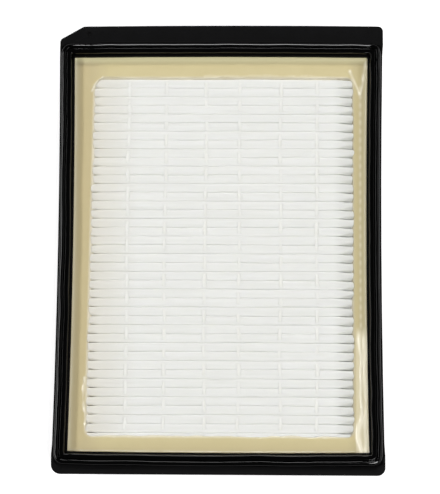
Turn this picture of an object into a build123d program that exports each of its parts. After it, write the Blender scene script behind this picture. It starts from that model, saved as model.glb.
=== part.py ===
from build123d import *
from math import asin, atan2, cos, hypot, pi, sin
import os

# Hepa filter panel, in millimetres, lying on its rear rim with the pleated face up.
# X runs across the pack, Y along it towards the wide end of the flange, and Z is 0 on the rear rim.

# Frame: an injection-moulded tray with a flange round its front
frame_width = 145.0
frame_length = 200.0
frame_depth = 20.0
flange_thickness = 2.2
flange_edge_break = 0.3
side_margin = 6.55
top_margin = 14.05
bottom_margin = 9.8
wall_thickness = 2.0
wall_draft = 0.4
rim_edge_break = 0.5
ledge_thickness = 1.8
ledge_overlap = 2.0
ledge_corner = 1.5

# Outline of the flange: its ends stand a little proud of its sides, and one corner is cut off as a key
end_tab_step = 0.35
end_tab_length = 8.5
end_tab_ramp = 5.0
key_across = 10.6
key_along = 6.1
key_corner = 2.0
top_corner = 2.3
bottom_left_corner = 4.0
bottom_right_corner = 3.4
mark_radius = 0.9
mark_depth = 0.3
mark_from_key = 2.6
mark_from_end = 3.8

# The thin long sides have drawn inwards after moulding, and the ends bulge outwards
side_bow = 0.85
end_bow = 0.4
opening_corner = 0.6
corner_growth = 0.4

# Seal: two rounded beads side by side, bonded in a shallow groove round the opening
lip_width = 0.8
groove_depth = 0.6
bead_width = 2.5
shoulder_across = 0.4
shoulder_down = 0.9
crest_across = 0.5
crest_down = 0.25
inner_bead_height = 2.5
outer_bead_height = 2.3

# Pleat pack: one sheet in rounded folds that overhang, with a narrow slot between neighbours
pack_top_gap = 9.75
pack_bottom_gap = 4.45
pack_side_gap = 5.6
crest_drop = 3.0
pleat_pitch = 3.95
pleat_slot = 1.05
fold_chords = 6
media_thickness = 0.4

# Potting: cast level with the folds, climbing a little up the frame, and lapping over the pleat ends
lap_thickness = 0.3
lap_sides = 2.0
lap_bottom = 2.45
climb_height = 0.7
climb_width = 1.2
climb_land = 0.15

# Separators: strings of hot-melt adhesive over the folds, with a wedge down into each slot
string_width = 1.6
string_thickness = 0.3
wedge_depth = 5.0
wedge_clearance = 0.03
string_end_clearance = 0.2
string_drift = (0.4, 0.7, 1.9, 0.3, 2.0, 1.5)

# Places that follow from the sizes above
side_x = frame_width / 2 - end_tab_step
end_y = frame_length / 2
opening_x = side_x - side_margin
opening_top = end_y - top_margin
opening_bottom = bottom_margin - end_y
flange_back_z = frame_depth - flange_thickness
groove_z = frame_depth - groove_depth

pack_x = opening_x - pack_side_gap
pack_top = opening_top - pack_top_gap
pack_bottom = opening_bottom + pack_bottom_gap
pack_length = pack_top - pack_bottom
pleat_count = round(pack_length / pleat_pitch)
pitch = pack_length / pleat_count
crest_z = frame_depth - crest_drop
fold_outer = (pitch - pleat_slot) / 2
fold_inner = fold_outer - media_thickness

window_x = pack_x - lap_sides
window_bottom = pack_bottom + lap_bottom
lap_z = crest_z + lap_thickness


def block(face, low, high):
    """A flat face drawn at Z 0, raised to low and made solid up to high."""
    return extrude(Pos(0, 0, low) * face, amount=high - low)


def rectangle(half_width, low, high):
    """A sharp-cornered rectangle, centred across X and running from low to high along Y."""
    return Pos(0, (low + high) / 2) * Rectangle(2 * half_width, high - low)


def opening_outline(offset):
    """The opening's bowed outline, moved outwards by offset, with corners that open up as it grows."""
    x = opening_x + offset
    low = opening_bottom - offset
    high = opening_top + offset
    middle = (low + high) / 2
    sides = [
        ThreePointArc((x, low), (x - side_bow, middle), (x, high)),
        ThreePointArc((x, high), (0, high + end_bow), (-x, high)),
        ThreePointArc((-x, high), (side_bow - x, middle), (-x, low)),
        ThreePointArc((-x, low), (0, low - end_bow), (x, low)),
    ]
    face = make_face(Curve() + sides)
    return fillet(face.vertices(), opening_corner + corner_growth * offset)


def opening_ring(inner, outer):
    """The band between two outlines of the opening."""
    return opening_outline(outer) - opening_outline(inner)


def flange_outline():
    """The flange's outline: bowed sides and ends, end tabs, the key corner and three rounded corners."""
    tab_x = frame_width / 2
    tab_low = end_tab_length - end_y
    tab_high = end_y - end_tab_length
    ramp_low = tab_low + end_tab_ramp
    ramp_high = tab_high - end_tab_ramp
    waist_x = side_x - side_bow
    key_y = end_y - key_along
    key_x = key_across - side_x
    edges = [
        Line((tab_x, -end_y), (tab_x, tab_low)),
        Line((tab_x, tab_low), (side_x, ramp_low)),
        ThreePointArc((side_x, ramp_low), (waist_x, 0), (side_x, ramp_high)),
        Line((side_x, ramp_high), (tab_x, tab_high)),
        Line((tab_x, tab_high), (tab_x, end_y)),
        ThreePointArc((tab_x, end_y), (0, end_y + end_bow), (key_x, end_y)),
        Line((key_x, end_y), (-side_x, key_y)),
        Line((-side_x, key_y), (-side_x, ramp_high)),
        ThreePointArc((-side_x, ramp_high), (-waist_x, 0), (-side_x, ramp_low)),
        Line((-side_x, ramp_low), (-tab_x, tab_low)),
        Line((-tab_x, tab_low), (-tab_x, -end_y)),
        Line((-tab_x, -end_y), (tab_x, -end_y)),
    ]
    face = make_face(Curve() + edges)
    corners = (
        ((tab_x, end_y), top_corner),
        ((key_x, end_y), key_corner),
        ((-side_x, key_y), key_corner),
        ((-tab_x, -end_y), bottom_left_corner),
        ((tab_x, -end_y), bottom_right_corner),
    )
    for place, radius in corners:
        nearest = face.vertices().sort_by_distance(place)[0]
        face = fillet(nearest, radius)
    return face


def frame():
    """Flange, drafted box walls and the rear ledge, moulded as one piece."""
    flange = block(flange_outline(), flange_back_z, frame_depth)
    flange = chamfer(flange.faces().sort_by(Axis.Z)[-1].edges(), flange_edge_break)
    rear = opening_outline(wall_thickness - wall_draft)
    front = Pos(0, 0, flange_back_z) * opening_outline(wall_thickness)
    walls = loft([rear.face(), front.face()], ruled=True)
    walls = chamfer(walls.faces().sort_by(Axis.Z)[0].edges(), rim_edge_break)
    window = rectangle(pack_x - ledge_overlap, pack_bottom + ledge_overlap, pack_top - ledge_overlap)
    window = fillet(window.vertices(), ledge_corner)
    body = flange + walls
    body -= block(opening_outline(0), ledge_thickness, frame_depth)
    body -= block(window, 0, ledge_thickness)
    body -= block(opening_ring(lip_width, lip_width + 2 * bead_width), groove_z, frame_depth)
    mark = Pos(key_across - side_x + mark_from_key, end_y - mark_from_end) * Circle(mark_radius)
    return body - block(mark, frame_depth - mark_depth, frame_depth)


def bead(inner, height):
    """One bead of the seal: a ring up to its height above the flange, rounded to its crest in two steps a side."""
    ring = block(opening_ring(inner, inner + bead_width), groove_z, frame_depth + height)
    for across, down in ((shoulder_across, shoulder_down), (crest_across, crest_down)):
        top = ring.faces().sort_by(Axis.Z)[-1]
        ring = chamfer(top.edges(), across, down, reference=top)
    return ring


def seal():
    """Both beads, joined along the valley between them."""
    return bead(lip_width, inner_bead_height) + bead(lip_width + bead_width, outer_bead_height)


def bend(centre_y, centre_z, radius, start, end):
    """Points round a bend, from one angle to another, measured from +Y towards +Z."""
    chords = round(abs(end - start) * fold_chords / pi)
    angles = [start + (end - start) * step / chords for step in range(chords + 1)]
    return [(centre_y + radius * cos(angle), centre_z + radius * sin(angle)) for angle in angles]


def sheet_face(tip_radius, fold_radius):
    """Section of one face of the folded sheet, from the top end of the pack to its bottom end.

    The tips are the folds on the pleated face. Both faces of the sheet share the centre of each bend, so it keeps
    its thickness all along, and the straight flanks lean outwards from the tips by the same angle.
    """
    tip_z = crest_z - fold_outer
    rear_z = ledge_thickness + fold_outer
    rise = tip_z - rear_z
    mean_radius = fold_outer - media_thickness / 2
    lean = asin(2 * mean_radius / hypot(pitch / 2, rise)) - atan2(pitch / 2, rise)
    first_y = pack_top - fold_outer
    last_y = pack_bottom + fold_outer
    points = [(first_y + tip_radius, ledge_thickness)] + bend(first_y, tip_z, tip_radius, 0, pi / 2)
    for number in range(pleat_count):
        tip_y = pack_top - (number + 0.5) * pitch
        last = number == pleat_count - 1
        points += bend(tip_y, tip_z, tip_radius, -lean if number else pi / 2, pi / 2 if last else pi + lean)
        if not last:
            points += bend(tip_y - pitch / 2, rear_z, fold_radius, lean, -pi - lean)
    return points + bend(last_y, tip_z, tip_radius, pi / 2, pi) + [(last_y - tip_radius, ledge_thickness)]


def across_pack(points, low_x, high_x):
    """A solid with the given section in Y and Z, run across the pack from one X to another."""
    outline = Polyline([(low_x, y, z) for y, z in points], close=True)
    return extrude(Face(Wire(outline.edges())), amount=high_x - low_x, dir=(1, 0, 0))


def pleated_media():
    """The sheet between its front face and its rear face."""
    front = sheet_face(fold_outer, fold_inner)
    rear = sheet_face(fold_inner, fold_outer)
    return across_pack(front + rear[::-1], -pack_x, pack_x)


def potting():
    """The cast adhesive: round the pack up to the folds, then lapping over the pleat ends."""
    pack = rectangle(pack_x, pack_bottom, pack_top)
    window = rectangle(window_x, window_bottom, pack_top)
    fill = block(opening_outline(0) - pack, ledge_thickness, crest_z)
    lap = block(opening_outline(0) - window, crest_z, lap_z)
    climb = block(opening_outline(0), lap_z, lap_z + climb_height)
    basin_floor = Pos(0, 0, lap_z) * opening_outline(-climb_width)
    basin_top = Pos(0, 0, lap_z + climb_height) * opening_outline(-climb_land)
    climb -= loft([basin_floor.face(), basin_top.face()], ruled=True)
    return fill + lap + climb


def separator(place, slots, low, high, level, outwards):
    """A string of adhesive on the crests at level, with a wedge in each slot between low and high.

    outwards is 1 on the front of the pack, where the string lies above the crests, and -1 on its rear.
    """
    neck = pleat_slot / 2 - wedge_clearance
    half_top = neck / (1 - fold_outer / wedge_depth)
    points = [(high, level + outwards * string_thickness), (high, level)]
    for y in slots:
        if low + half_top < y < high - half_top:
            points += [(y + half_top, level), (y, level - outwards * wedge_depth), (y - half_top, level)]
    points += [(low, level), (low, level + outwards * string_thickness)]
    return across_pack(points, place - string_width / 2, place + string_width / 2)


def separators():
    """Front and rear strings, spread evenly across the window apart from the drift that each one has."""
    made = {}
    panels = len(string_drift) + 1
    front_slots = [pack_top - number * pitch for number in range(1, pleat_count)]
    rear_slots = [pack_top - (number + 0.5) * pitch for number in range(1, pleat_count - 1)]
    rear_low = pack_bottom + ledge_overlap + string_end_clearance
    rear_high = pack_top - ledge_overlap - string_end_clearance
    for number, drift in enumerate(string_drift, start=1):
        place = window_x * (2 * number / panels - 1) + drift
        made[f"front_separator_{number}"] = separator(place, front_slots, window_bottom, pack_top, crest_z, 1)
        made[f"rear_separator_{number}"] = separator(place, rear_slots, rear_low, rear_high, ledge_thickness, -1)
    return made


pieces = {
    "frame": frame(),
    "seal": seal(),
    "potting": potting(),
    "pleated_media": pleated_media(),
    **separators(),
}
os.makedirs("parts", exist_ok=True)
for name, piece in pieces.items():
    export_step(piece, f"parts/{name}.step")
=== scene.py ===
import math

import bmesh
import bpy
from mathutils import Matrix, Vector, noise


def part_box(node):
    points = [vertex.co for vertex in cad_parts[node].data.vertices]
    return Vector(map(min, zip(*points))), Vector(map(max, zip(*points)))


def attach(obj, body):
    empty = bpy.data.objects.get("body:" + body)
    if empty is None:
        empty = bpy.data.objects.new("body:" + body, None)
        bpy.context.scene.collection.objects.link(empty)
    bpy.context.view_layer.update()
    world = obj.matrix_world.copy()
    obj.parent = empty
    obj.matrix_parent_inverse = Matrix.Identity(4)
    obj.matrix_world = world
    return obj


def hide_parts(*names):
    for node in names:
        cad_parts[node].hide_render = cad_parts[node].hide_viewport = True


# The CAD nodes are the fixed frame: every piece below sits over the node that it stands for
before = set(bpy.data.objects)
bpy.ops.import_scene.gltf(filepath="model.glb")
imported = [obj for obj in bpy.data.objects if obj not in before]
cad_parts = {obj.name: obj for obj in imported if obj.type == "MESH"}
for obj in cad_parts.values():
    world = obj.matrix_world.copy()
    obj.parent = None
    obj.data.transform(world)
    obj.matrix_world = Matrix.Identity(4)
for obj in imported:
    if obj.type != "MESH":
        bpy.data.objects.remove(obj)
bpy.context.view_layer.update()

# Lengths are written in millimetres and turned to metres by MM.
# X runs across the pack, Y along it towards the wide end of the flange, and Z is 0 on the rear rim.
MM = 0.001

# The opening in the flange, whose long sides have drawn in and whose ends bulge out
opening_x = 65.6
opening_top = 85.95
opening_bottom = -90.2
opening_middle = (opening_top + opening_bottom) / 2
opening_half = (opening_top - opening_bottom) / 2
side_bow = 0.85
end_bow = 0.4
end_bow_reach = 6

# Heights of the flange's face, the floor of the seal's groove and the ledge that the pack stands on
flange_z = 20.0
groove_z = 19.4
ledge_z = 1.8

# The pleat pack: its box, and its folds as the solid has them
pack_low, pack_high = (Vector(corner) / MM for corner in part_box("pleated_media"))
pack_x = pack_high.x
pack_top = pack_high.y
pack_bottom = pack_low.y
crest_z = pack_high.z
pleat_count = 41
pitch = (pack_top - pack_bottom) / pleat_count
paper_thickness = 0.4
fold_radius = 1.25
tip_z = crest_z - fold_radius - paper_thickness / 2
rear_z = ledge_z + fold_radius + paper_thickness / 2

# Where the six strings of hot melt cross the pack, and where the front and the rear ones start and end
string_places = (-41.03, -24.16, -6.39, 8.59, 26.86, 42.93)
front_span = (-83.3, 76.0)
rear_span = (-83.55, 74.0)


# Modelling helpers

def alone(piece):
    """Leave the piece as the only thing selected, and make it active."""
    bpy.ops.object.select_all(action="DESELECT")
    piece.select_set(True)
    bpy.context.view_layer.objects.active = piece


def primitive(name, add, size, centre, **settings):
    """Add a primitive of side 1, stretched to a size and put at a centre, both in millimetres."""
    bpy.ops.object.select_all(action="DESELECT")
    add(size=MM, location=Vector(centre) * MM, **settings)
    piece = bpy.context.object
    piece.name = name
    piece.data.name = name
    piece.scale = size
    bpy.ops.object.transform_apply(location=True, rotation=True, scale=True)
    return piece


def pick(kind, test):
    """In edit mode, select the VERT, EDGE or FACE elements that pass a test, and nothing else."""
    bpy.ops.mesh.select_mode(type=kind)
    bpy.ops.mesh.select_all(action="DESELECT")
    mesh = bmesh.from_edit_mesh(bpy.context.object.data)
    for element in {"VERT": mesh.verts, "EDGE": mesh.edges, "FACE": mesh.faces}[kind]:
        if test(element):
            element.select_set(True)
    bmesh.update_edit_mesh(bpy.context.object.data)


def runs_along(axis):
    """A test for long edges that run along one axis, given as 0, 1 or 2."""
    def test(edge):
        span = edge.verts[1].co - edge.verts[0].co
        return span.length > 5 * MM and abs(span[axis]) > 0.98 * span.length
    return test


def reshape(piece, place):
    """Move each point of a piece to place(x, y, z), in millimetres."""
    for point in piece.data.vertices:
        point.co = Vector(place(*(point.co / MM))) * MM


def apply_modifier(piece, kind, **settings):
    """Give a piece a modifier and apply it."""
    alone(piece)
    modifier = piece.modifiers.new(kind.title(), kind)
    for name, value in settings.items():
        setattr(modifier, name, value)
    bpy.ops.object.modifier_apply(modifier=modifier.name)


def duplicate(piece, name):
    """A copy of a piece with a mesh of its own."""
    copy = piece.copy()
    copy.data = piece.data.copy()
    copy.name = name
    copy.data.name = name
    bpy.context.scene.collection.objects.link(copy)
    return copy


def dress(piece, material, slot, *nodes):
    """Dress a piece, hang it on the part's one body and let it stand for its CAD nodes."""
    piece.data.materials.clear()
    piece.data.materials.append(material)
    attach(piece, "root")
    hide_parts(*nodes)


def ease(low, high, value):
    """0 below low, 1 above high and a soft ramp between."""
    share = min(max((value - low) / (high - low), 0.0), 1.0)
    return share * share * (3 - 2 * share)


def drift(seed, value, spacing):
    """A smooth wander between about -1 and 1 along a line, whose waves are about spacing long."""
    return 2 * noise.noise(Vector((value / spacing, seed * 7.3, seed * 3.1)))


def crowd(place, reach):
    """Shift a cut between -reach and reach towards its nearer end, so that cuts lie closer together there."""
    share = place / reach
    return reach * (1.35 * share - 0.35 * share ** 3)


def bowed(x, y):
    """Where a point of the straight opening lies once the tray has bowed."""
    across = ease(pack_x, opening_x, abs(x))
    along = ease(opening_half - end_bow_reach, opening_half, abs(y - opening_middle))
    from_middle = (y - opening_middle) / opening_half
    x_bowed = x - math.copysign(side_bow * max(1 - from_middle ** 2, 0) * across, x)
    y_bowed = y + math.copysign(end_bow * max(1 - (x / opening_x) ** 2, 0) * along, from_middle)
    return x_bowed, y_bowed


# Frame: the moulded tray

def model_frame():
    """The tray's own solid, with its points merged and its faces shaded smooth but for the sharp edges."""
    tray = duplicate(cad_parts["frame"], "moulded_tray")
    alone(tray)
    bpy.ops.object.mode_set(mode="EDIT")
    bpy.ops.mesh.select_all(action="SELECT")
    bpy.ops.mesh.remove_doubles(threshold=0.001 * MM)
    bpy.ops.object.mode_set(mode="OBJECT")
    bpy.ops.object.shade_smooth_by_angle(angle=math.radians(50))
    apply_modifier(tray, "WEIGHTED_NORMAL", weight=100, keep_sharp=True)
    return tray


# Seal: two soft beads side by side

# Steps inwards and upwards over the section, from the outer foot over both crests to the inner foot
seal_section = (
    (0.04, 1.45), (0.12, 0.85), (0.35, 0.30), (0.52, 0.20), (0.62, 0.10),
    (0.30, -0.12), (0.26, -0.28), (0.18, -0.40), (0.11, -0.30),
    (0.06, 0.62), (0.06, 0.50), (0.10, 0.09), (0.18, 0.02), (0.50, 0.02), (0.55, 0.0),
    (0.45, -0.04), (0.25, -0.16), (0.17, -0.50), (0.13, -0.80), (0.05, -1.55),
)
seal_reach = 5.8
seal_corner = 4.5

# Cuts along the beads that run along X and along Y
seal_cuts = (46, 62)

# The beads are loose above the flange and fully so at loose_z, where they wander sideways and dip
loose_z = 22.3
seal_wander = 0.16
seal_dip = 0.10


def rounded(x, y, on_side):
    """Crowd a ring's points towards its corners, and round the corners about their own centres."""
    y -= opening_middle
    reach = max(abs(x) - opening_x, abs(y) - opening_half)
    if on_side:
        y = crowd(y, opening_half + reach)
    else:
        x = crowd(x, opening_x + reach)
    centre_x = opening_x + seal_reach - seal_corner
    centre_y = opening_half + seal_reach - seal_corner
    over_x, over_y = abs(x) - centre_x, abs(y) - centre_y
    if over_x > 0 and over_y > 0:
        pull = max(over_x, over_y) / math.hypot(over_x, over_y)
        x = math.copysign(centre_x + pull * over_x, x)
        y = math.copysign(centre_y + pull * over_y, y)
    return x, y + opening_middle


def model_seal():
    """A plane as large as the seal, inset step by step over its section, opened and softened."""
    seal = primitive(
        "seal_beads", bpy.ops.mesh.primitive_plane_add,
        (2 * (opening_x + seal_reach), 2 * (opening_half + seal_reach), 1), (0, opening_middle, groove_z),
    )
    bpy.ops.object.mode_set(mode="EDIT")
    bpy.ops.mesh.select_mode(type="FACE")
    bpy.ops.mesh.select_all(action="SELECT")
    for inwards, upwards in seal_section:
        bpy.ops.mesh.inset(thickness=inwards * MM, depth=upwards * MM, use_even_offset=True)
    bpy.ops.mesh.delete(type="FACE")
    pick("EDGE", lambda edge: edge.is_boundary)
    bpy.ops.mesh.bridge_edge_loops()
    for axis, cuts in enumerate(seal_cuts):
        pick("EDGE", runs_along(axis))
        bpy.ops.mesh.subdivide(number_cuts=cuts)
    bpy.ops.mesh.select_all(action="SELECT")
    bpy.ops.mesh.normals_make_consistent(inside=False)
    bpy.ops.object.mode_set(mode="OBJECT")

    def waver(x, y, z):
        """Bow a point with the tray, and let the soft crests wander a little."""
        loose = ease(flange_z, loose_z, z)
        on_side = abs(x) / opening_x > abs(y - opening_middle) / opening_half
        place = y if on_side else x
        seed = 3 + (x > 0) + 2 * (y > 0) if on_side else 9 + (y > 0)
        shift = seal_wander * loose * (drift(seed, place, 9) + 0.5 * drift(seed + 20, place, 3.5))
        x_bowed, y_bowed = bowed(*rounded(x, y, on_side))
        if on_side:
            x_bowed += shift
        else:
            y_bowed += shift
        return x_bowed, y_bowed, z - seal_dip * loose * abs(drift(seed + 40, place, 12))

    reshape(seal, waver)
    apply_modifier(seal, "SUBSURF", levels=1, render_levels=1)
    bpy.ops.object.shade_smooth()
    return seal


# Pleated media: one sheet in 41 rounded folds

# Steps round a rear fold and round a tip, and cuts across the sheet
rear_steps = 3
tip_steps = 8
sheet_cuts = 58

# Crests: how square they are pressed, half their width, and how far below a tip they reach
crest_squareness = 4.0
crest_half_width = 1.99
valley_depth = 0.9

# Crests slump towards the pleats' ends, half as much on the left. Each pair says how far in from the pack's side
# that starts and where it is complete. A slumped crest has its own width and is pushed along the pack.
right_slump = (9.5, 1.5)
left_slump = (8, 3)
slumped_width = 1.56
slumped_push = 0.35

# How far folds sway along the pack, how far they rise and fall, and how much lower they lie than the solid's
fold_sway = 0.14
fold_rise = 0.07
fold_drop = 0.08

def extrude_to(y, z):
    """Extrude the selected edge by a step in Y and Z."""
    bpy.ops.mesh.extrude_region_move(TRANSFORM_OT_translate={"value": (0, y * MM, z * MM)})


def spin_about(y, z, steps, angle):
    """Spin the selected edge about a line along X, by an angle counted from +Y towards +Z."""
    bpy.ops.mesh.spin(steps=steps, angle=-angle, center=(0, y * MM, z * MM), axis=(1, 0, 0))


def flatten(y, z, shoulder):
    """Press a point of a round fold, measured from the fold's centre, to a flat crest with low shoulders."""
    radius = math.hypot(y, z)
    across = abs(y / radius) ** (2 / crest_squareness)
    return math.copysign(radius * across, y), radius * (1 - shoulder * across ** 5)


def model_media():
    """One pleat is drawn by spins and extrusions, repeated as an array, wrinkled and made thick."""
    rise = tip_z - rear_z
    lean = math.asin(2 * fold_radius / math.hypot(pitch / 2, rise)) - math.atan2(pitch / 2, rise)
    quarter = math.pi / 2 + lean
    first_tip = pack_top - pitch / 2
    start = first_tip + pitch / 2
    leg_y = 2 * fold_radius * math.cos(lean) - pitch / 2
    leg_z = rise - 2 * fold_radius * math.sin(lean)

    sheet = primitive(
        "pleated_sheet", bpy.ops.mesh.primitive_plane_add,
        (2 * pack_x, 1, 1), (0, start - 0.5, rear_z - fold_radius),
    )
    bpy.ops.object.mode_set(mode="EDIT")
    pick("VERT", lambda vert: vert.co.y < (start - 0.5) * MM)
    bpy.ops.mesh.delete(type="VERT")
    bpy.ops.mesh.select_mode(type="EDGE")
    bpy.ops.mesh.select_all(action="SELECT")
    spin_about(start, rear_z, rear_steps, -quarter)
    near_tip = valley_depth / leg_z
    extrude_to(leg_y * (1 - near_tip), leg_z * (1 - near_tip))
    extrude_to(leg_y * near_tip, leg_z * near_tip)
    spin_about(first_tip, tip_z, tip_steps, 2 * quarter)
    extrude_to(leg_y * near_tip, -leg_z * near_tip)
    extrude_to(leg_y * (1 - near_tip), -leg_z * (1 - near_tip))
    spin_about(first_tip - pitch / 2, rear_z, rear_steps, -quarter)
    bpy.ops.mesh.select_all(action="SELECT")
    bpy.ops.mesh.remove_doubles(threshold=0.001 * MM)
    pick("EDGE", runs_along(0))
    bpy.ops.mesh.subdivide(number_cuts=sheet_cuts)
    bpy.ops.mesh.select_all(action="SELECT")
    bpy.ops.mesh.normals_make_consistent(inside=False)
    bpy.ops.object.mode_set(mode="OBJECT")
    apply_modifier(
        sheet, "ARRAY", count=pleat_count, use_relative_offset=False, use_constant_offset=True,
        constant_offset_displace=(0, -pitch * MM, 0), use_merge_vertices=True, merge_threshold=0.01 * MM,
    )

    def wrinkle(x, y, z):
        """Crowd the cuts towards the pleats' ends, press and slump the crests, and let each fold wander."""
        x = crowd(x, pack_x)
        number = (pack_top - y) / pitch
        row = min(max(math.floor(number), 0), pleat_count - 1)
        tip_y = pack_top - (row + 0.5) * pitch
        front = ease(rear_z, tip_z, z)
        bulge = ease(tip_z - 4, tip_z, z) * ((crest_half_width - paper_thickness / 2) / fold_radius - 1)
        slump = ease(-right_slump[0], -right_slump[1], x - pack_x) ** 1.1
        slump += 0.5 * ease(pack_x - left_slump[0], pack_x - left_slump[1], -x)
        slump = min(slump * (0.8 + 0.3 * drift(row + 30, x, 9)), 1)
        if z > tip_z - 0.3:
            slot = row if y > tip_y else row + 1
            shoulder = 0.14 + 0.12 * drift(slot + 300, x, 22) + 0.3 * slump
            y, z = flatten(y - tip_y, z - tip_z, shoulder)
            y, z = tip_y + y, tip_z + z
        squeeze = 1 + bulge
        if z > tip_z - valley_depth - 0.5:
            height = ease(tip_z - valley_depth, tip_z + fold_radius, z)
            squeeze += slump * (slumped_width * (1 - 0.55 * height) - squeeze)
            y += slumped_push * slump * height
        low_slot = drift(row + 1, x, 30) + 0.3 * drift(row + 91, x, 7)
        high_slot = drift(row, x, 30) + 0.3 * drift(row + 90, x, 7)
        sway = fold_sway * front * (high_slot + (number - row) * (low_slot - high_slot))
        lift = front * (fold_rise * drift(row + 130, x, 18) - fold_drop)
        return x, tip_y + (y - tip_y) * squeeze + sway, z + lift

    reshape(sheet, wrinkle)
    apply_modifier(sheet, "SOLIDIFY", thickness=paper_thickness * MM, offset=0)
    bpy.ops.object.shade_smooth()
    return sheet


# Potting: the adhesive cast round the pack

# Runs of adhesive that stand on the cast skin: the points they pass, their half width and their height
adhesive_runs = (
    (((-57.8, 70.7), (-56.5, 73.2), (-55.1, 75.5), (-53.1, 77.1)), 0.45, 0.7),
    (((57.7, 79.7), (59.1, 76.5), (60.4, 73.3), (62.2, 69.6)), 0.7, 0.6),
    (((65.0, 84.5), (64.0, 78.5), (63.5, 73.3), (62.6, 69.6)), 0.6, 0.6),
    (((-7.1, 77.4), (13.0, 77.8), (35.4, 77.6), (46.6, 76.9)), 0.45, 0.2),
    (((-58.6, -58.0), (-59.3, -66.0), (-58.8, -70.0), (-58.0, -78.6)), 0.4, 0.6),
    (((-47.2, -83.3), (0.8, -83.1), (48.6, -82.8)), 0.7, 0.25),
)

# Cell of the grid, height of the level skin, and how far the adhesive reaches in among the pleats
cell = 0.45
pour_z = crest_z + 0.25
scallop_reach = 5.0

# The skin climbs the wall, and falls away among the pleats, more steeply near the pack's right side
climb_height = 0.72
climb_width = 0.7
right_fall = 4.0
other_fall = 1.9
right_fall_reach = 8
deepest_fall = 9.5

# How far the adhesive laps over the pack's left side, which slants, its right side and its lower side, and how far
# it stands clear of the upper side
left_lap = 2.65
left_lap_slant = 0.009
right_lap = 0.9
lower_lap = 2.3
upper_gap = 0.9

# A bead of adhesive with a knot at every pleat stands along the pack's right side
knot_x = 62.5
knot_half_width = 0.75
knot_height = 0.30


def wall_distance(x, y):
    """How far a point of the straight opening lies from the nearest wall, in millimetres."""
    return min(opening_x - abs(x), opening_half - abs(y - opening_middle))


def window_depth(x, y):
    """How far a point lies inside the part of the pack that stays clear of adhesive, in millimetres."""
    corner = 5.5 if x < 0 and y > 0 else 3.0
    left, right = -pack_x + left_lap + left_lap_slant * y, pack_x - right_lap
    low, high = pack_bottom + lower_lap, pack_top + upper_gap
    middle_x, middle_y = (left + right) / 2, (low + high) / 2
    over_x = abs(x - middle_x) - (right - left) / 2 + corner
    over_y = abs(y - middle_y) - (high - low) / 2 + corner
    outside = math.hypot(max(over_x, 0), max(over_y, 0)) + min(max(over_x, over_y), 0)
    return corner - outside


def distance_to(x, y, points):
    """Distance from a point to a line of points."""
    nearest = 1e9
    for (ax, ay), (bx, by) in zip(points, points[1:]):
        span = (bx - ax) ** 2 + (by - ay) ** 2
        share = min(max(((x - ax) * (bx - ax) + (y - ay) * (by - ay)) / span, 0), 1)
        nearest = min(nearest, math.hypot(x - ax - share * (bx - ax), y - ay - share * (by - ay)))
    return nearest


def runs(x, y):
    """Height of the runs of adhesive, which wander and swell."""
    height = 0
    for points, half_width, run in adhesive_runs:
        wander = 0.35 * drift(31, x + y, 5)
        blotch = 0.75 + 0.6 * noise.noise(Vector((x / 1.6, y / 3.0, 8)))
        height += run * blotch * math.exp(-((distance_to(x, y, points) + wander) / half_width) ** 2)
    return height


def knots(x, y):
    """Height of the knotted bead, which fades out at both of its ends."""
    across = math.exp(-((x - knot_x) / knot_half_width) ** 2)
    bead = across * (0.7 + 0.3 * math.cos(2 * math.pi * (pack_top - y) / pitch))
    return knot_height * bead * ease(-40, -34, y) * ease(-78, -70, -y)


def flow(x, y):
    """Height of the late flow at the lower right: a low sheet with two ridges that wander."""
    inner = math.exp(-((x - 61.7 - 0.9 * drift(32, y, 9)) / (0.9 + 0.4 * drift(36, y, 11))) ** 2)
    outer = math.exp(-((x - 64.1 - 0.5 * drift(33, y, 12)) / (0.6 + 0.3 * drift(37, y, 9))) ** 2)
    ridges = (0.55 * inner + 0.45 * outer) * (1 + 0.3 * drift(35, y, 8))
    return (0.25 * ease(59.6, 60.4, x) + ridges) * ease(34, 42, -y)


def run_height(x, y):
    """How far the runs, the knots and the flow stand above the cast skin together, in millimetres."""
    return runs(x, y) + knots(x, y) + flow(x, y)


def pour_height(x, y):
    """Height of the adhesive's skin at a point of the straight opening."""
    height = pour_z + climb_height * math.exp(-wall_distance(x, y) / climb_width) + run_height(x, y)
    height += 0.06 * drift(1, x, 11) * drift(2, y, 13) + 0.05 * noise.noise(Vector((x / 5, y / 5, 4)))
    inside = window_depth(x, y) + 0.35 * drift(5, x + 1.7 * y, 6)
    fall = right_fall if x > pack_x - right_fall_reach else other_fall
    return height - min(fall * max(inside, 0) * ease(-0.6, 1.0, inside), deepest_fall)


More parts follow.
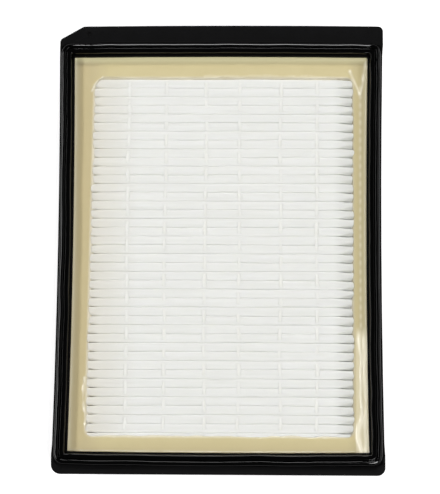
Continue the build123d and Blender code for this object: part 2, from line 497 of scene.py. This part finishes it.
def model_potting():
    """A grid over the opening with the pack cut out of it, raised to a solid and given its skin."""
    across = round(2 * opening_x / cell)
    along = round(2 * opening_half / cell)
    potting = primitive(
        "cast_potting", bpy.ops.mesh.primitive_grid_add,
        (2 * opening_x, 2 * opening_half, 1), (0, opening_middle, ledge_z),
        x_subdivisions=across, y_subdivisions=along,
    )
    bpy.ops.object.mode_set(mode="EDIT")
    pick("FACE", lambda face: window_depth(*(face.calc_center_median() / MM)[:2]) > scallop_reach)
    bpy.ops.mesh.delete(type="FACE")
    bpy.ops.mesh.select_all(action="SELECT")
    bpy.ops.mesh.extrude_region_move(TRANSFORM_OT_translate={"value": (0, 0, (pour_z - ledge_z) * MM)})
    bpy.ops.mesh.select_all(action="SELECT")
    bpy.ops.mesh.normals_make_consistent(inside=False)
    bpy.ops.object.mode_set(mode="OBJECT")
    # What the material reads at each point: centimetres from the wall, and the shares of a lap and of a run
    from_wall, over_pleats, thin_run_and_glint = (
        potting.data.attributes.new(name, "FLOAT", "POINT") for name in ("from_wall", "over_pleats", "thin_run_and_glint")
    )
    for point in potting.data.vertices:
        x, y, z = point.co / MM
        from_wall.data[point.index].value = min(opening_x - abs(x), 4 + wall_distance(x, y)) / 10
        over_pleats.data[point.index].value = ease(-0.9, 0.7, window_depth(x, y))
        thin_run_and_glint.data[point.index].value = min(run_height(x, y) / 0.6, 1)
        skin = pour_height(x, y) if z > ledge_z + 1 else z
        point.co = Vector((*bowed(x, y), skin)) * MM
    alone(potting)
    bpy.ops.object.shade_smooth_by_angle(angle=math.radians(50))
    return potting


# Separators: strings of hot melt laid over the folds

# A string's width and rounded edges, how thick it is on a crest, and its sag and its wedge in a slot
string_width = 1.7
string_edge = 0.45
string_thickness = 0.35
string_sag = 0.36
string_wedge = 3.2
cuts_per_pleat = 8

def model_string(name, low, high, crest, outwards, first_crest):
    """One string, drawn as a bar over the crests that sags into each slot between them."""
    bar = primitive(
        name, bpy.ops.mesh.primitive_cube_add,
        (string_width, high - low, 1), (0, (low + high) / 2, 0),
    )
    bpy.ops.object.mode_set(mode="EDIT")
    pick("EDGE", runs_along(1))
    bpy.ops.mesh.bevel(offset=string_edge * MM, segments=3, affect="EDGES")
    pick("EDGE", runs_along(1))
    bpy.ops.mesh.subdivide(number_cuts=round((high - low) / pitch * cuts_per_pleat) - 1)
    bpy.ops.object.mode_set(mode="OBJECT")

    def lay(x, y, z):
        """Lay a point of the bar over the crests: z runs from -0.5 on its back to 0.5 on its skin."""
        from_crest = (first_crest - y) / pitch
        slot = 0.5 - 0.5 * math.cos(2 * math.pi * from_crest)
        skin = 0.04 * drift(7, y, 7) - string_sag * slot ** 6
        back = -string_thickness - string_wedge * slot ** 6
        share = z + 0.5
        swell = 1 + 0.18 * drift(8, y, 5)
        return x * swell, y, crest + outwards * (back + share * (skin - back))

    reshape(bar, lay)
    alone(bar)
    bpy.ops.object.mode_set(mode="EDIT")
    bpy.ops.mesh.select_all(action="SELECT")
    bpy.ops.mesh.normals_make_consistent(inside=False)
    bpy.ops.object.mode_set(mode="OBJECT")
    bpy.ops.object.shade_smooth()
    return bar


def lay_strings(bar, side):
    """Copies of a string at each of its places, each with a drift of its own."""
    strings = []
    for number, place in enumerate(string_places, start=1):
        string = duplicate(bar, f"{side}_string_{number}")
        seed = 200 + 17 * number + len(side)

        def wander(x, y, z):
            return place + x + 0.30 * drift(seed, y, 30) + 0.12 * drift(seed + 5, y, 8), y, z

        reshape(string, wander)
        strings.append(string)
    bpy.data.objects.remove(bar)
    return strings


# Materials

def linear(colour):
    """An sRGB hex colour as linear red, green and blue, with full alpha."""
    shares = [int(colour[place:place + 2], 16) / 255 for place in (1, 3, 5)]
    return [c / 12.92 if c <= 0.04045 else ((c + 0.055) / 1.055) ** 2.4 for c in shares] + [1.0]


def add(tree, kind, inputs=(), **settings):
    """Add a node with its settings. inputs pairs a socket with a value or with another node's output."""
    node = tree.nodes.new(kind)
    for name, value in settings.items():
        setattr(node, name, value)
    for socket, value in dict(inputs).items():
        if isinstance(value, bpy.types.NodeSocket):
            tree.links.new(value, node.inputs[socket])
        else:
            node.inputs[socket].default_value = value
    return node


def new_material(name):
    """An empty node material, with its tree."""
    material = bpy.data.materials.new(name)
    material.use_nodes = True
    material.node_tree.nodes.clear()
    return material, material.node_tree


def moulded_abs():
    """Black ABS from a spark-eroded mould: a fine dull grain that spreads the light to a soft dark grey."""
    material, tree = new_material("spark_eroded_abs")
    place = add(tree, "ShaderNodeTexCoord").outputs["Object"]
    grain = add(tree, "ShaderNodeTexNoise", {"Vector": place, "Scale": 1 / (0.35 * MM), "Detail": 3.0})
    cloud = add(tree, "ShaderNodeTexNoise", {"Vector": place, "Scale": 1 / (6 * MM), "Detail": 4.0})
    tone = add(tree, "ShaderNodeMix", {
        "Factor": cloud.outputs["Fac"], "A": linear("#080808"), "B": linear("#0f0f10"),
    }, data_type="RGBA")
    dull = add(tree, "ShaderNodeMapRange", {
        "Value": grain.outputs["Fac"], "To Min": 0.46, "To Max": 0.60,
    })
    bump = add(tree, "ShaderNodeBump", {
        "Height": grain.outputs["Fac"], "Strength": 0.35, "Distance": 0.03 * MM,
    })
    skin = add(tree, "ShaderNodeBsdfPrincipled", {
        "Base Color": tone.outputs["Result"], "Roughness": dull.outputs["Result"],
        "Normal": bump.outputs["Normal"], "IOR": 1.53, "Specular IOR Level": 0.05,
    })
    add(tree, "ShaderNodeOutputMaterial", {"Surface": skin.outputs["BSDF"]})
    return material


def soft_black_rubber():
    """Soft black rubber with a wet-looking skin: thin wandering highlights on its crests."""
    material, tree = new_material("soft_black_rubber")
    place = add(tree, "ShaderNodeTexCoord").outputs["Object"]
    ripple = add(tree, "ShaderNodeTexNoise", {"Vector": place, "Scale": 1 / (4 * MM), "Detail": 2.0})
    smear = add(tree, "ShaderNodeTexNoise", {"Vector": place, "Scale": 1 / (1.5 * MM), "Detail": 3.0})
    gloss = add(tree, "ShaderNodeMapRange", {
        "Value": smear.outputs["Fac"], "To Min": 0.05, "To Max": 0.13,
    })
    bump = add(tree, "ShaderNodeBump", {
        "Height": ripple.outputs["Fac"], "Strength": 0.25, "Distance": 0.15 * MM,
    })
    tone = add(tree, "ShaderNodeMix", {
        "Factor": smear.outputs["Fac"], "A": linear("#020202"), "B": linear("#050505"),
    }, data_type="RGBA")
    skin = add(tree, "ShaderNodeBsdfPrincipled", {
        "Base Color": tone.outputs["Result"], "Roughness": gloss.outputs["Result"],
        "Normal": bump.outputs["Normal"], "IOR": 1.52, "Specular IOR Level": 0.22,
    })
    add(tree, "ShaderNodeOutputMaterial", {"Surface": skin.outputs["BSDF"]})
    return material


def cast_polyurethane():
    """Cast polyurethane: a smooth glossy cream skin whose tone shifts across the pour, with painted reflection and
    shade in that shift, pale in its thin runs partly as painted highlight.
    """
    material, tree = new_material("cast_polyurethane")
    place = add(tree, "ShaderNodeTexCoord").outputs["Object"]
    wall = add(tree, "ShaderNodeAttribute", attribute_name="from_wall")
    over = add(tree, "ShaderNodeAttribute", attribute_name="over_pleats")
    run = add(tree, "ShaderNodeAttribute", attribute_name="thin_run_and_glint")
    # The tone from the wall inwards is partly the pour's own, changing with its depth, and partly painted light:
    # the pale grey at the wall is painted reflection and painted light against the wall's shade, and the tan a
    # little way out is painted shade of the pour's hollow
    ramp = add(tree, "ShaderNodeValToRGB", {"Fac": wall.outputs["Fac"]})
    stops = ramp.color_ramp.elements
    stops[0].color = linear("#d9d5c3")
    stops[1].color = linear("#d6ca9f")
    for place_on_ramp, colour in ((0.10, "#cfc8ab"), (0.20, "#c3b793"), (0.34, "#c8b98a"), (0.52, "#d8ca9c")):
        stops.new(place_on_ramp).color = linear(colour)
    cloud = add(tree, "ShaderNodeTexNoise", {"Vector": place, "Scale": 1 / (9 * MM), "Detail": 4.0})
    patch = add(tree, "ShaderNodeMapRange", {"Value": cloud.outputs["Fac"], "To Max": 0.7})
    cast = add(tree, "ShaderNodeMix", {
        "Factor": patch.outputs["Result"], "A": ramp.outputs["Color"], "B": linear("#cdc091"),
    }, data_type="RGBA")
    # Painted shade makes the pour browner down both long sides and at its foot, and painted light makes it pale
    # along the top wall, where the seal's shadow falls
    sides = add(tree, "ShaderNodeSeparateXYZ", {"Vector": place})
    tone = cast.outputs["Result"]
    for axis, start, end, share, colour in (
        ("X", -50, -58, 0.45, "#b6a786"),
        ("X", 56, 60, 0.45, "#b4a985"),
        ("Y", opening_top - 3.2, opening_top - 1.0, 0.9, "#e8e0b4"),
        ("Y", opening_bottom + 6.0, opening_bottom + 1.0, 0.5, "#b5a988"),
    ):
        near = add(tree, "ShaderNodeMapRange", {
            "Value": sides.outputs[axis], "From Min": start * MM, "From Max": end * MM, "To Max": share,
        })
        tone = add(tree, "ShaderNodeMix", {
            "Factor": near.outputs["Result"], "A": tone, "B": linear(colour),
        }, data_type="RGBA").outputs["Result"]
    # The thin lap over the pleats is cream on the left, and greyer on the right, where the grey is painted shade
    # of the groove between pack and pour
    on_right = add(tree, "ShaderNodeMapRange", {
        "Value": sides.outputs["X"], "From Min": 54 * MM, "From Max": 58 * MM,
    })
    lap = add(tree, "ShaderNodeMix", {
        "Factor": on_right.outputs["Result"], "A": linear("#e9e2cf"), "B": linear("#bdb7a4"),
    }, data_type="RGBA")
    lapped = add(tree, "ShaderNodeMix", {
        "Factor": over.outputs["Fac"], "A": tone, "B": lap.outputs["Result"],
    }, data_type="RGBA")
    # The runs are paler: partly the thin adhesive's own colour, partly painted highlight
    skinned = add(tree, "ShaderNodeMix", {
        "Factor": run.outputs["Fac"], "A": lapped.outputs["Result"], "B": linear("#f1ead2"),
    }, data_type="RGBA")
    orange_peel = add(tree, "ShaderNodeTexNoise", {"Vector": place, "Scale": 1 / (2.5 * MM), "Detail": 2.0})
    bump = add(tree, "ShaderNodeBump", {
        "Height": orange_peel.outputs["Fac"], "Strength": 0.3, "Distance": 0.2 * MM,
    })
    skin = add(tree, "ShaderNodeBsdfPrincipled", {
        "Base Color": skinned.outputs["Result"], "Roughness": 0.18,
        "Normal": bump.outputs["Normal"], "IOR": 1.5,
    })
    add(tree, "ShaderNodeOutputMaterial", {"Surface": skin.outputs["BSDF"]})
    return material


def glass_fibre_paper():
    """Glass fibre filter paper: a matt, faintly fibrous white that lets light through its folds."""
    material, tree = new_material("glass_fibre_paper")
    place = add(tree, "ShaderNodeTexCoord").outputs["Object"]
    along = add(tree, "ShaderNodeMapping", {"Vector": place, "Scale": (0.04, 1.0, 0.3)})
    crease = add(tree, "ShaderNodeTexNoise", {
        "Vector": along.outputs["Vector"], "Scale": 1 / (1.1 * MM), "Detail": 4.0,
    })
    fibres = add(tree, "ShaderNodeTexNoise", {
        "Vector": place, "Scale": 1 / (0.5 * MM), "Detail": 5.0, "Distortion": 1.5,
    })
    # The paper's tone follows the crease pattern: partly its own uneven tone, and darker where the crease bump is
    # low, as painted shade
    tone = add(tree, "ShaderNodeMix", {
        "Factor": crease.outputs["Fac"], "A": linear("#e6e7e0"), "B": linear("#f2f2ee"),
    }, data_type="RGBA")
    # The paper is darker towards the pleats' ends: creamier towards the left end, and grey on the right, which is
    # painted shade of the opened slots
    sides = add(tree, "ShaderNodeSeparateXYZ", {"Vector": place})
    paper = tone.outputs["Result"]
    for start, end, share, colour in ((-36, -60, 0.8, "#dad5c8"), (50, 60, 0.75, "#cfd0cb")):
        towards_end = add(tree, "ShaderNodeMapRange", {
            "Value": sides.outputs["X"], "From Min": start * MM, "From Max": end * MM, "To Max": share,
        })
        paper = add(tree, "ShaderNodeMix", {
            "Factor": towards_end.outputs["Result"], "A": paper, "B": linear(colour),
        }, data_type="RGBA").outputs["Result"]
    creased = add(tree, "ShaderNodeBump", {
        "Height": crease.outputs["Fac"], "Strength": 0.7, "Distance": 0.2 * MM,
    })
    bump = add(tree, "ShaderNodeBump", {
        "Height": fibres.outputs["Fac"], "Strength": 0.4, "Distance": 0.05 * MM,
        "Normal": creased.outputs["Normal"],
    })
    skin = add(tree, "ShaderNodeBsdfPrincipled", {
        "Base Color": paper, "Roughness": 0.95, "Normal": bump.outputs["Normal"], "IOR": 1.45,
        "Subsurface Weight": 0.8, "Subsurface Radius": (1.0, 1.0, 0.95), "Subsurface Scale": 0.7 * MM,
    })
    add(tree, "ShaderNodeOutputMaterial", {"Surface": skin.outputs["BSDF"]})
    return material


def hot_melt():
    """Hot melt adhesive: a milky bead with a waxy shine."""
    material, tree = new_material("hot_melt_adhesive")
    place = add(tree, "ShaderNodeTexCoord").outputs["Object"]
    cloud = add(tree, "ShaderNodeTexNoise", {"Vector": place, "Scale": 1 / (2.5 * MM), "Detail": 3.0})
    tone = add(tree, "ShaderNodeMix", {
        "Factor": cloud.outputs["Fac"], "A": linear("#e8e8e1"), "B": linear("#f1f1ec"),
    }, data_type="RGBA")
    gloss = add(tree, "ShaderNodeMapRange", {
        "Value": cloud.outputs["Fac"], "To Min": 0.35, "To Max": 0.55,
    })
    skin = add(tree, "ShaderNodeBsdfPrincipled", {
        "Base Color": tone.outputs["Result"], "Roughness": gloss.outputs["Result"], "IOR": 1.48,
        "Subsurface Weight": 0.5, "Subsurface Radius": (1.0, 1.0, 0.95), "Subsurface Scale": 0.5 * MM,
    })
    add(tree, "ShaderNodeOutputMaterial", {"Surface": skin.outputs["BSDF"]})
    return material


# How much light the floor adds of its own, to reach full white
floor_lift = 0.6


def white_sweep_paper():
    """Matt white sweep paper, lifted to full white where it is seen directly, mirrored or through something."""
    material, tree = new_material("white_sweep")
    place = add(tree, "ShaderNodeTexCoord").outputs["Object"]
    tooth = add(tree, "ShaderNodeTexNoise", {"Vector": place, "Scale": 1 / (1.2 * MM), "Detail": 2.0})
    bump = add(tree, "ShaderNodeBump", {"Height": tooth.outputs["Fac"], "Strength": 0.1, "Distance": 0.05 * MM})
    matt = add(tree, "ShaderNodeBsdfDiffuse", {"Color": linear("#e6e6e6"), "Normal": bump.outputs["Normal"]})
    path = add(tree, "ShaderNodeLightPath")
    mirrored = add(tree, "ShaderNodeMath", {
        0: path.outputs["Is Glossy Ray"], 1: path.outputs["Is Transmission Ray"],
    }, operation="MAXIMUM")
    seen = add(tree, "ShaderNodeMath", {
        0: path.outputs["Is Camera Ray"], 1: mirrored.outputs["Value"],
    }, operation="MAXIMUM")
    lift = add(tree, "ShaderNodeMath", {0: seen.outputs["Value"], 1: floor_lift}, operation="MULTIPLY")
    glow = add(tree, "ShaderNodeEmission", {"Color": (1, 1, 1, 1), "Strength": lift.outputs["Value"]})
    both = add(tree, "ShaderNodeAddShader", {0: matt.outputs["BSDF"], 1: glow.outputs["Emission"]})
    add(tree, "ShaderNodeOutputMaterial", {"Surface": both.outputs["Shader"]})
    return material


# The object

dress(model_frame(), moulded_abs(), "frame", "frame")
dress(model_seal(), soft_black_rubber(), "seal", "seal")
dress(model_potting(), cast_polyurethane(), "potting", "potting")
dress(model_media(), glass_fibre_paper(), "media", "pleated_media")

string_material = hot_melt()
front_bar = model_string("front_bar", *front_span, crest_z, 1, pack_top - pitch / 2)
rear_bar = model_string("rear_bar", *rear_span, ledge_z, -1, pack_top - pitch)
for side, bar in (("front", front_bar), ("rear", rear_bar)):
    for number, string in enumerate(lay_strings(bar, side), start=1):
        dress(string, string_material, "string", f"{side}_separator_{number}")


# Floor, light and camera

floor = primitive("floor", bpy.ops.mesh.primitive_plane_add, (4000, 4000, 1), (0, 0, -0.2))
floor.data.materials.append(white_sweep_paper())


def add_lamp(name, place, size, power):
    """A soft box at a place in metres, aimed at the middle of the object."""
    data = bpy.data.lights.new(name, "AREA")
    data.shape = "RECTANGLE"
    data.size, data.size_y = size
    data.energy = power
    lamp = bpy.data.objects.new(name, data)
    lamp.location = place
    lamp.rotation_euler = (Vector((0, 0, 0)) - Vector(place)).to_track_quat("-Z", "Y").to_euler()
    bpy.context.scene.collection.objects.link(lamp)


# Each soft box's place and its width and height, in metres, and its power in watts
for name, place, size, power in (
    ("front", (0.35, -0.5, 1.2), (0.3, 0.3), 8.2),
    ("left", (-1.0, 0.05, 0.95), (1.0, 0.15), 7.2),
    ("right", (1.0, 0.1, 0.95), (1.6, 0.15), 3.4),
    ("top", (0.0, 0.95, 0.95), (0.4, 0.2), 6.9),
):
    add_lamp(name, place, size, power)

# A faint even light from all round
world = bpy.data.worlds.new("studio")
bpy.context.scene.world = world
world.use_nodes = True
surround = world.node_tree.nodes["Background"]
surround.inputs["Color"].default_value = (1, 1, 1, 1)
surround.inputs["Strength"].default_value = 0.03

# The photograph's camera: its place in metres, and the directions to its right, its top and its back
camera_data = bpy.data.cameras.new("camera")
camera_data.sensor_width = 36
camera_data.lens = 145.75
camera = bpy.data.objects.new("camera", camera_data)
bpy.context.scene.collection.objects.link(camera)
right = Vector((0.9996, 0.00737, -0.02746))
up = Vector((-0.00293, 0.98741, 0.15816))
back = Vector((0.02828, -0.15801, 0.98703))
turn = Matrix((right, up, back)).transposed().to_4x4()
camera.matrix_world = Matrix.Translation((0.0252, -0.1394, 0.8895)) @ turn
bpy.context.scene.camera = camera

bpy.context.scene.view_settings.view_transform = "Standard"
